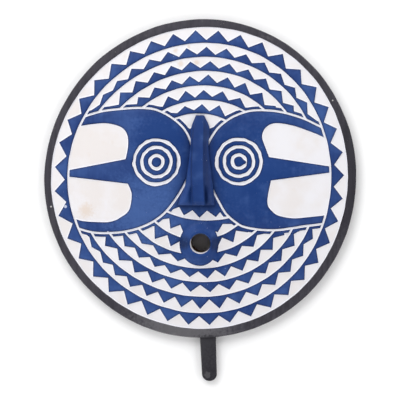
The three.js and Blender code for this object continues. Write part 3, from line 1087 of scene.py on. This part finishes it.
@dataclass
class Handle:
    """The short handle below the disc, with a rounded end."""

    board: Board
    width: float = 26.0
    end_width: float = 23.5
    step: float = 2.5
    rounding: float = 3.0
    offset: float = 11.3
    lean: float = 3.2
    end_flat: float = 0.5
    end_segments: int = 10
    edge_segments: int = 4
    edge_angle: float = 50.0

    def build(self) -> bpy.types.Object:
        """Make the handle from a block, tapered and rounded.

        Returns:
            The handle, in millimetres about the disc's centre.
        """
        edge = -float(self.board.plan.disc_edge(np.array(180.0)))
        root, end = edge + self.board.land / 2, edge - self.board.plan.handle_length
        thick = self.board.edge - self.step
        bpy.ops.object.select_all(action="DESELECT")
        bpy.ops.mesh.primitive_cube_add(
            size=1, location=(self.offset, (root + end) / 2, thick / 2),
            scale=(self.width, root - end, thick),
        )
        handle = bpy.context.object
        bpy.ops.object.transform_apply(location=True, rotation=True, scale=True)
        bpy.ops.object.mode_set(mode="EDIT")
        bpy.ops.mesh.select_all(action="DESELECT")
        bpy.ops.object.mode_set(mode="OBJECT")
        for corner in handle.data.vertices:
            corner.select = corner.co.y < (root + end) / 2
        bpy.ops.object.mode_set(mode="EDIT")
        bpy.ops.transform.resize(
            value=(self.end_width / self.width, 1, 1), center_override=(self.offset, end, 0),
        )
        bpy.ops.transform.translate(value=(self.lean, 0, 0))
        bpy.ops.object.mode_set(mode="OBJECT")
        for side in handle.data.edges:
            a, b = (handle.data.vertices[i].co for i in side.vertices)
            side.select = a.y < end + 1 and b.y < end + 1 and abs(a.z - b.z) > 1
        bpy.ops.object.mode_set(mode="EDIT")
        bpy.ops.mesh.select_mode(type="EDGE")
        reach = self.end_width / 2 - self.end_flat
        bpy.ops.mesh.bevel(offset=reach, segments=self.end_segments, affect="EDGES")
        bpy.ops.object.mode_set(mode="OBJECT")
        soften = handle.modifiers.new("soften", "BEVEL")
        soften.width = self.rounding
        soften.segments = self.edge_segments
        soften.limit_method = "ANGLE"
        soften.angle_limit = math.radians(self.edge_angle)
        pick(handle)
        bpy.ops.object.modifier_apply(modifier=soften.name)
        handle.data.polygons.foreach_set("material_index", [int(Coat.BLACK)] * len(handle.data.polygons))
        return handle


@dataclass(frozen=True)
class Grain:
    """A cloudy pattern: swells in a metre, finer layers, the ramp that sharpens it, and its stretch."""

    scale: float
    detail: float
    low: float
    high: float
    stretch: Triple = (1, 1, 1)


class Value:
    """A number that varies over a surface; arithmetic on it adds Math nodes."""

    def __init__(self, bench: "Bench", socket: bpy.types.NodeSocket) -> None:
        """Wrap a socket of a bench's node tree."""
        self.bench = bench
        self.socket = socket

    def math(self, operation: str, *others: "float | Value") -> "Value":
        """Put this number and others through one Math node.

        Args:
            operation: The Math node's operation.
            others: The other operands.

        Returns:
            The node's result.
        """
        inputs = {0: self} | {i + 1: other for i, other in enumerate(others)}
        return self.bench.value("ShaderNodeMath", {"operation": operation}, inputs)

    def __add__(self, other: "float | Value") -> "Value":
        """Add."""
        return self.math("ADD", other)

    __radd__ = __add__

    def __mul__(self, other: "float | Value") -> "Value":
        """Multiply."""
        return self.math("MULTIPLY", other)

    def __sub__(self, other: "float | Value") -> "Value":
        """Subtract."""
        return self.math("SUBTRACT", other)

    def __rsub__(self, other: float) -> "Value":
        """Take this number from another."""
        return self.math("MULTIPLY_ADD", -1.0, other)

    def ramp(self, low: float, high: float) -> "Value":
        """An even ramp from 0 at the low end to 1 at the high end."""
        inputs = {"Value": self, "From Min": low, "From Max": high}
        return self.bench.value("ShaderNodeMapRange", {"interpolation_type": "SMOOTHSTEP"}, inputs)


class Bench:
    """Builds one material's nodes."""

    ragged_scale: float = 260.0
    spot_end: float = 1.1
    gloss_blur: float = 0.35
    sheen: float = 0.1

    def __init__(self, name: str, middle: np.ndarray) -> None:
        """Start an empty material.

        Args:
            name: The material's name.
            middle: Where the disc's centre lies in the model's frame, in millimetres.
        """
        self.material = bpy.data.materials.new(name)
        self.material.use_nodes = True
        self.tree = self.material.node_tree
        self.tree.nodes.clear()
        self.middle = middle
        self.place = self.node("ShaderNodeTexCoord", {}, {}).outputs["Object"]

    def node(self, kind: str, settings: dict, inputs: dict) -> bpy.types.Node:
        """Add a node.

        Args:
            kind: The node's type.
            settings: Its settings, which are set first.
            inputs: The values or links of its sockets, by name or number.

        Returns:
            The node.
        """
        node = self.tree.nodes.new(kind)
        for name, setting in settings.items():
            setattr(node, name, setting)
        for name, given in inputs.items():
            given = given.socket if isinstance(given, Value) else given
            if isinstance(given, bpy.types.NodeSocket):
                self.tree.links.new(given, node.inputs[name])
            else:
                node.inputs[name].default_value = given
        return node

    def value(self, kind: str, settings: dict, inputs: dict) -> Value:
        """Add a node and wrap its first result."""
        return Value(self, self.node(kind, settings, inputs).outputs[0])

    def noise(self, scale: float, detail: float, stretch: Triple = (1, 1, 1)) -> Value:
        """Random cloudiness over the surface.

        Args:
            scale: How many swells there are in a metre.
            detail: How many finer layers it has.
            stretch: How much finer it is along each axis.

        Returns:
            A number about one half.
        """
        spot = self.node("ShaderNodeMapping", {}, {"Vector": self.place, "Scale": stretch}).outputs[0]
        return self.value("ShaderNodeTexNoise", {}, {"Vector": spot, "Scale": scale, "Detail": detail})

    def grain(self, grain: Grain) -> Value:
        """A cloudy pattern with its ramp: from 0 where it is weakest to 1 where it is strongest."""
        return self.noise(grain.scale, grain.detail, grain.stretch).ramp(grain.low, grain.high)

    def attribute(self, name: str) -> Value:
        """A number that is stored on the mesh."""
        return Value(self, self.node("ShaderNodeAttribute", {"attribute_name": name}, {}).outputs["Fac"])

    def mix(self, share: Value, first: Colour, second: Triple) -> bpy.types.NodeSocket:
        """Mix two colours.

        Args:
            share: How much of the second shows.
            first: A colour as the eye sees it, or a socket.
            second: A colour as the eye sees it.

        Returns:
            The mixed colour.
        """
        first = shade(*first) if isinstance(first, tuple) else first
        inputs = {0: share, 6: first, 7: shade(*second)}
        return self.node("ShaderNodeMix", {"data_type": "RGBA"}, inputs).outputs[2]

    def near(self, spot: Triple, ragged: float = 0.35, soft: float = 0.35) -> Value:
        """A ragged spot on the face.

        Args:
            spot: Its place from the disc's centre and its radius, in millimetres.
            ragged: How uneven its edge is.
            soft: How much of it fades out.

        Returns:
            1 in the spot and 0 outside it.
        """
        x, y, size = spot
        centre = ((x + self.middle[0]) * MM, (y + self.middle[1]) * MM, 0)
        flat = self.node("ShaderNodeVectorMath", {"operation": "MULTIPLY"}, {0: self.place, 1: (1, 1, 0)})
        away = self.node("ShaderNodeVectorMath", {"operation": "DISTANCE"}, {0: flat.outputs[0], 1: centre})
        reach = Value(self, away.outputs["Value"]) * (1 / (size * MM))
        reach = reach + (self.noise(self.ragged_scale, 2) - 0.5) * 2 * ragged
        return 1 - reach.ramp(self.spot_end - soft, self.spot_end)

    def spots(self, places: tuple[Triple, ...], ragged: float = 0.35, soft: float = 0.35) -> Value:
        """Several ragged spots, of which the strongest counts.

        Args:
            places: The place and radius of each.
            ragged: How uneven their edges are.
            soft: How much of each fades out.

        Returns:
            1 in a spot and 0 outside them.
        """
        first, *others = (self.near(spot, ragged, soft) for spot in places)
        for spot in others:
            first = first.math("MAXIMUM", spot)
        return first

    def finish(
        self, colour: bpy.types.NodeSocket, roughness: Value, height: Value, coat: float,
    ) -> bpy.types.Material:
        """Close the material with its surface.

        Args:
            colour: The base colour.
            roughness: How dull it is.
            height: The relief in millimetres.
            coat: How much gloss lies over it.

        Returns:
            The material.
        """
        bump = self.node("ShaderNodeBump", {}, {"Height": height, "Distance": MM, "Strength": 1.0})
        shader = self.node("ShaderNodeBsdfPrincipled", {}, {
            "Base Color": colour, "Roughness": roughness, "Normal": bump.outputs[0],
            "Coat Weight": coat, "Coat Roughness": self.gloss_blur, "Specular IOR Level": self.sheen,
        })
        self.node("ShaderNodeOutputMaterial", {}, {"Surface": shader.outputs[0]})
        return self.material


def shade(red: float, green: float, blue: float) -> tuple[float, float, float, float]:
    """A colour as the eye sees it, made linear.

    Args:
        red: From 0 to 255.
        green: From 0 to 255.
        blue: From 0 to 255.

    Returns:
        The linear colour.
    """
    linear = [((c / 255 + 0.055) / 1.055) ** 2.4 if c > 10 else c / 3294.6 for c in (red, green, blue)]
    return (*linear, 1.0)


@dataclass(frozen=True)
class BluePaint:
    """Ultramarine paint on the raised wood, brushed and worn by rubbing here and there, with painted shade
    along the cuts, on and beside the nose and at the sides of the mouth's boss, and a painted light over
    the lower left of the face.
    """

    body: Triple = (58, 86, 143)
    deep: Triple = (32, 54, 108)
    # Lighter blue, for wear from rubbing and for the painted light on the lower left of the face.
    light: Triple = (69, 97, 153)
    rich: Triple = (23, 55, 114)
    # Dark blue of the painted shade at the sides of the mouth's boss.
    shade_blue: Triple = (12, 26, 58)
    # Dark blue of the painted shade along the cuts and on and beside the nose.
    edge: Triple = (16, 26, 62)
    chip: Triple = (190, 196, 216)
    cloud: Grain = Grain(14, 5, 0.32, 0.68)
    streak: Grain = Grain(170, 3, 0.3, 0.75, (1, 0.09, 1))
    stroke: Grain = Grain(55, 4, 0.42, 0.66, (0.4, 1, 1))
    rub: Grain = Grain(45, 5, 0.5, 0.75)
    thin: Grain = Grain(120, 3, 0.25, 0.6)
    fleck: Grain = Grain(420, 4, 0.7, 0.75)
    flecked: Grain = Grain(35, 2, 0.5, 0.62)
    # Where the lower left of the face is painted lighter, a painted light on the side the lamp faces.
    lit_cheek: Triple = (-95, -55, 75)
    rich_spots: tuple[Triple, ...] = (
        (84, 10, 105), (-8, 78, 34), (-6, 28, 40), (-4, -18, 38), (-1, -104, 52), (-62, 60, 60),
    )
    # Where the painted shade lies at both sides of the mouth's boss.
    boss_shade_spots: tuple[Triple, ...] = ((25, -104, 16), (-27, -102, 14))
    chips: tuple[Triple, ...] = ((-216.4, -44.4, 2.6), (-148, -85, 1.6))

    def material(self, middle: np.ndarray) -> bpy.types.Material:
        """Build the paint's material.

        Args:
            middle: Where the disc's centre lies in the model's frame, in millimetres.

        Returns:
            The material.
        """
        bench = Bench("blue_paint", middle)
        streak = bench.grain(self.streak)
        colour = bench.mix(bench.grain(self.cloud) * 0.7 + streak * 0.25, self.body, self.deep)
        colour = bench.mix(bench.grain(self.stroke) * 0.4, colour, self.deep)
        thick = bench.spots(self.rich_spots, 0.5, 0.7) * (bench.noise(22, 4) * 0.5 + 0.5)
        colour = bench.mix(thick, colour, self.rich)
        # Painted shade at both sides of the mouth's boss.
        boss_shade = bench.spots(self.boss_shade_spots, 0.15, 0.8) * (bench.noise(60, 3) * 0.4 + 0.5)
        colour = bench.mix(boss_shade, colour, self.shade_blue)
        # Wear from rubbing here and there, and a painted light over the lower left of the face.
        rubbed_and_lit = bench.near(self.lit_cheek, 0.8, 1.0) * 0.6 + bench.grain(self.rub) * 0.35
        colour = bench.mix(rubbed_and_lit, colour, self.light)
        # Painted shade: the blue darkens along the edges of the cuts, unevenly.
        thin = 1 - bench.attribute("edge").ramp(0.2, 0.95)
        thin = thin * (bench.grain(self.thin) * 0.35 + 0.35)
        # Painted shade on and beside the nose, stored on the mesh.
        nose_shade = bench.attribute("nose_shade") * (bench.noise(80, 3) * 0.5 + 0.5)
        colour = bench.mix(thin.math("MAXIMUM", nose_shade), colour, self.edge)
        worn = bench.grain(self.fleck) * bench.grain(self.flecked) * 0.7
        worn = worn.math("MAXIMUM", bench.spots(self.chips))
        colour = bench.mix(worn * 0.85, colour, self.chip)
        rough = 0.38 + bench.noise(60, 3) * 0.2
        height = bench.noise(900, 3, (1, 0.25, 1)) * 0.05 + streak * 0.06 - worn * 0.08
        return bench.finish(colour, rough, height, 0.04)


@dataclass(frozen=True)
class WhitePaint:
    """Chalky white paint in the cuts, cleanest along their edges, creamy and stained on the floors, and
    creamier towards the left as a painted shade.
    """

    clean: Triple = (227, 227, 233)
    cream: Triple = (220, 215, 214)
    stain: Triple = (208, 186, 164)
    cloud: Grain = Grain(22, 4, 0.36, 0.68)
    dirt: Grain = Grain(70, 4, 0.58, 0.8)
    dirty: Grain = Grain(12, 2, 0.45, 0.65)
    # Where the white is painted creamier and darker, as a painted shade on the left side.
    left_shade: Triple = (-165, 40, 150)
    stains: tuple[Triple, ...] = (
        (-183.5, -50.8, 12), (-32, 184, 5), (-6.6, 185.6, 4.5), (-39.6, 205.3, 4), (-18.6, 212, 3),
    )
    stain_spread: float = 1.3

    def material(self, middle: np.ndarray) -> bpy.types.Material:
        """Build the paint's material.

        Args:
            middle: Where the disc's centre lies in the model's frame, in millimetres.

        Returns:
            The material.
        """
        bench = Bench("white_paint", middle)
        edge = bench.attribute("edge")
        # Painted shade: creamier and darker towards the left, evening out the lamp on that side.
        cloud = bench.grain(self.cloud) + bench.near(self.left_shade, 0.4, 1.0) * 0.6
        colour = bench.mix(edge.ramp(0.4, 0.9) * (cloud * 0.6 + 0.25), self.clean, self.cream)
        dirt = bench.grain(self.dirt) * bench.grain(self.dirty) * 0.18
        stains = tuple((x, y, size * self.stain_spread) for x, y, size in self.stains)
        dirt = dirt.math("MAXIMUM", bench.spots(stains, 0.5, 0.9) * 0.5)
        colour = bench.mix(dirt * edge.ramp(0.1, 0.6), colour, self.stain)
        rough = 0.6 + bench.noise(50, 3) * 0.2
        height = bench.noise(500, 3) * 0.08 + bench.noise(130, 2, (1, 0.4, 1)) * 0.14
        return bench.finish(colour, rough, height, 0.0)


@dataclass(frozen=True)
class BlackPaint:
    """Greyed black paint on the rim and the handle, streaked along the grain, with painted shade down the
    rim's right side and a painted highlight on the handle's end.
    """

    body: Triple = (73, 71, 79)
    dark: Triple = (30, 29, 35)
    chip: Triple = (214, 212, 210)
    # Lighter grey, for wear from rubbing at the rim's foot and for the painted highlight on the handle's
    # end.
    rubbed_and_lit: Triple = (120, 119, 122)
    streak: Grain = Grain(210, 4, 0.3, 0.72, (1, 0.06, 1))
    rub: Grain = Grain(90, 4, 0.6, 0.8)
    fleck: Grain = Grain(520, 4, 0.74, 0.77)
    flecked: Grain = Grain(40, 2, 0.52, 0.62)
    chips: tuple[Triple, ...] = ((-240, -44.4, 1.4), (212, 126, 1.2))
    rim_foot: Triple = (-30, -250, 100)
    # Where the painted shade lies down the right side of the rim.
    rim_right_shade: Triple = (262, 0, 150)
    handle: Triple = (14, -298, 46)
    # Where the painted highlight lies on the handle's end.
    handle_end_highlight: Triple = (11, -315, 5)

    def material(self, middle: np.ndarray) -> bpy.types.Material:
        """Build the paint's material.

        Args:
            middle: Where the disc's centre lies in the model's frame, in millimetres.

        Returns:
            The material.
        """
        bench = Bench("black_paint", middle)
        streak = bench.grain(self.streak)
        colour = bench.mix(streak * 0.3 + bench.noise(16, 3) * 0.5, self.body, self.dark)
        rub = bench.grain(self.rub) * 0.25 + bench.near(self.rim_foot, 0.5, 0.8) * 0.45
        colour = bench.mix(rub, colour, self.rubbed_and_lit)
        # Painted shade down the right side of the rim.
        colour = bench.mix(bench.near(self.rim_right_shade, 0.4, 0.8) * 0.5, colour, self.dark)
        colour = bench.mix(bench.near(self.handle, 0.2, 0.15) * 0.75, colour, self.dark)
        # A painted highlight on the handle's end.
        colour = bench.mix(bench.near(self.handle_end_highlight, 0.7) * 0.25, colour, self.rubbed_and_lit)
        worn = bench.grain(self.fleck) * bench.grain(self.flecked)
        worn = worn.math("MAXIMUM", bench.spots(self.chips))
        colour = bench.mix(worn * 0.65, colour, self.chip)
        rough = 0.5 + bench.noise(80, 3) * 0.22
        height = streak * 0.08 + bench.noise(700, 3) * 0.04 - worn * 0.08
        return bench.finish(colour, rough, height, 0.04)


@dataclass(frozen=True)
class BackWood:
    """The bare wood of the hollow back, dressed with a curved adze; its dark brown is partly a painted
    shade that keeps the inside of the mouth's hole dark.
    """

    # Dark brown, partly a painted shade for the inside of the mouth's hole.
    light: Triple = (84, 62, 45)
    dark: Triple = (47, 33, 24)
    streak: Grain = Grain(150, 5, 0.3, 0.7, (1, 0.05, 0.6))
    adze_marks: float = 55.0
    adze_stretch: Triple = (1, 0.45, 1)

    def material(self, middle: np.ndarray) -> bpy.types.Material:
        """Build the wood's material.

        Args:
            middle: Where the disc's centre lies in the model's frame, in millimetres.

        Returns:
            The material.
        """
        bench = Bench("back_wood", middle)
        streak = bench.grain(self.streak)
        colour = bench.mix(streak * 0.7 + bench.noise(14, 4) * 0.4, self.light, self.dark)
        inputs = {"Vector": bench.place, "Scale": self.adze_stretch}
        spot = bench.node("ShaderNodeMapping", {}, inputs).outputs[0]
        inputs = {"Vector": spot, "Scale": self.adze_marks, "Randomness": 0.9}
        marks = bench.value("ShaderNodeTexVoronoi", {"feature": "F1"}, inputs)
        rough = 0.72 + bench.noise(60, 3) * 0.15
        height = marks * marks * 1.3 + streak * 0.15
        return bench.finish(colour, rough, height, 0.0)


@dataclass
class Mask:
    """The whole mask: one board with its nose, mouth and handle, painted."""

    plan: FacePlan
    name: str = "carved_mask"
    smooth_below: float = 32.0
    edge_fade: float = 3.0
    # How dark and how far-reaching the painted shade is in the corners round the nose and low on the nose.
    corner_shade: float = 0.85
    corner_reach: float = 4.5
    foot_shade: float = 0.8
    foot_reach: float = 4.0
    land_top: float = 1.0
    facing_down: float = -0.6
    back_inset: float = 10.0

    def build(self) -> bpy.types.Object:
        """Make the mask and dress it.

        Returns:
            The finished piece.
        """
        board = Board(self.plan)
        nose = Nose(board)
        middle = self.plan.centre()
        finishes = (BluePaint(), WhitePaint(), BlackPaint(), BackWood())
        coats = [finish.material(middle) for finish in finishes]
        mask = coated(board.build(), coats)
        mask.name = self.name
        fuse(mask, coated(nose.build(), coats), "UNION")
        fuse(mask, coated(Handle(board).build(), coats), "UNION")
        fuse(mask, coated(Mouth(board).cutter(), coats), "DIFFERENCE")
        self.dress(mask, nose)
        self.coat_back(mask)
        self.place(mask)
        pick(mask)
        bpy.ops.object.shade_smooth_by_angle(angle=math.radians(self.smooth_below))
        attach(mask, "root")
        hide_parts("mask")
        LOG.info("%s: %d triangles", mask.name, sum(len(p.vertices) - 2 for p in mask.data.polygons))
        return mask

    def points(self, mask: bpy.types.Object) -> np.ndarray:
        """Read a mesh's points.

        Args:
            mask: The object with the mesh.

        Returns:
            One row of x, y and z each.
        """
        points = np.empty(len(mask.data.vertices) * 3)
        mask.data.vertices.foreach_get("co", points)
        return points.reshape(-1, 3)

    def dress(self, mask: bpy.types.Object, nose: Nose) -> None:
        """Store how far each point lies from the cuts, and the painted shade on the nose and in the corners
        beside it.

        Args:
            mask: The joined mask, in millimetres about the disc's centre.
            nose: The nose on it.
        """
        points = self.points(mask)
        flat = points[:, :2]
        foot = nose.footprint()
        held = inside(flat, foot)
        edge = np.where(held, 1, np.clip(nose.board.edges.away(flat) / self.edge_fade, 0, 1))
        # Painted shade: darker low on the nose, beside its ridge, on its right flank and in the corners
        # round its foot.
        lift = np.clip(points[:, 2] - nose.board.dome(flat), 0, None)
        worn = np.maximum(self.foot_shade * np.exp(-lift / self.foot_reach), nose.ridge_and_flank_shade(flat))
        corner = self.corner_shade * np.exp(-Nearest(foot).away(flat) / self.corner_reach)
        for name, values in (("edge", edge), ("nose_shade", np.where(held, worn, corner))):
            stored = mask.data.attributes.new(name, "FLOAT", "POINT")
            stored.data.foreach_set("value", values.astype(np.float32))

    def coat_back(self, mask: bpy.types.Object) -> None:
        """Leave the back's land and hollow as bare wood.

        Args:
            mask: The joined mask, in millimetres about the disc's centre.
        """
        reach = self.plan.radius - self.back_inset
        for face in mask.data.polygons:
            x, y, z = face.center
            if z < self.land_top or (face.normal.z < self.facing_down and math.hypot(x, y) < reach):
                face.material_index = int(Coat.BACK)

    def place(self, mask: bpy.types.Object) -> None:
        """Move the mask's points to their place in the model's frame, in metres.

        Args:
            mask: The joined mask, in millimetres about the disc's centre.
        """
        points = self.points(mask)
        points[:, :2] += self.plan.centre()
        mask.data.vertices.foreach_set("co", (points * MM).ravel())
        mask.data.update()


@dataclass
class Studio:
    """The pale floor, the soft light and the camera that looks straight down."""

    middle: np.ndarray
    floor_size: float = 8.0
    pale: Triple = (255, 255, 255)
    cool: Triple = (254, 254, 255)
    key_place: Triple = (-1.1, 2.0, 2.0)
    key_size: float = 2.3
    key_power: float = 43.0
    sky: float = 1.5
    sky_top: float = 0.01
    sky_fade: Pair = (0.68, 0.9)
    view_width: float = 0.6432
    face_height: float = 0.01
    film: float = 36.0
    aim: Pair = (-0.96, -33.93)
    distance: float = 3.0

    def floor(self) -> None:
        """Lay the pale floor that the mask lies on."""
        bpy.ops.object.select_all(action="DESELECT")
        bpy.ops.mesh.primitive_plane_add(size=self.floor_size, location=(0, 0, 0))
        floor = bpy.context.object
        floor.name = "floor"
        bench = Bench("pale_floor", self.middle)
        tone = bench.mix(bench.noise(2, 2), self.pale, self.cool)
        dull = bench.noise(4, 1) * 0.1 + 0.85
        floor.data.materials.append(bench.finish(tone, dull, bench.noise(50, 1) * 0.01, 0.0))

    def hang(self, name: str, held: bpy.types.ID, place: Triple) -> bpy.types.Object:
        """Put a light or a camera in its place.

        Args:
            name: Its name.
            held: The light or the camera.
            place: Where it hangs.

        Returns:
            The object that holds it.
        """
        holder = bpy.data.objects.new(name, held)
        holder.location = place
        bpy.context.collection.objects.link(holder)
        return holder

    def light(self) -> None:
        """Hang the soft light, pointing at the mask."""
        lamp = bpy.data.lights.new("key", "AREA")
        lamp.size = self.key_size
        lamp.energy = self.key_power
        holder = self.hang("key", lamp, self.key_place)
        holder.rotation_euler = Vector(self.key_place).to_track_quat("Z", "Y").to_euler()

    def open_sky(self) -> None:
        """Light the scene evenly from the sides, with a dark sky overhead."""
        world = bpy.data.worlds.new("studio")
        world.use_nodes = True
        tree = world.node_tree
        sky = tree.nodes["Background"]
        sky.inputs[0].default_value = (1, 1, 1, 1)
        way = tree.nodes.new("ShaderNodeTexCoord")
        parts = tree.nodes.new("ShaderNodeSeparateXYZ")
        fade = tree.nodes.new("ShaderNodeMapRange")
        fade.interpolation_type = "SMOOTHSTEP"
        numbers = (*self.sky_fade, self.sky, self.sky_top)
        for socket, number in zip(("From Min", "From Max", "To Min", "To Max"), numbers):
            fade.inputs[socket].default_value = number
        tree.links.new(way.outputs["Generated"], parts.inputs[0])
        tree.links.new(parts.outputs["Z"], fade.inputs["Value"])
        tree.links.new(fade.outputs[0], sky.inputs[1])
        bpy.context.scene.world = world
        bpy.context.scene.view_settings.view_transform = "Standard"

    def build(self) -> None:
        """Set up the floor, the light, the sky and the camera."""
        self.floor()
        self.light()
        self.open_sky()
        camera = bpy.data.cameras.new("camera")
        camera.sensor_width = self.film
        camera.lens = self.film * (self.distance - self.face_height) / self.view_width
        place = (*((self.middle + self.aim) * MM), self.distance)
        bpy.context.scene.camera = self.hang("camera", camera, place)


def main() -> None:
    """Build the mask and its studio."""
    logging.basicConfig(level=logging.INFO, format="%(name)s %(message)s")
    plan = FacePlan()
    Mask(plan).build()
    Studio(plan.centre()).build()


if __name__ == "__main__":
    main()
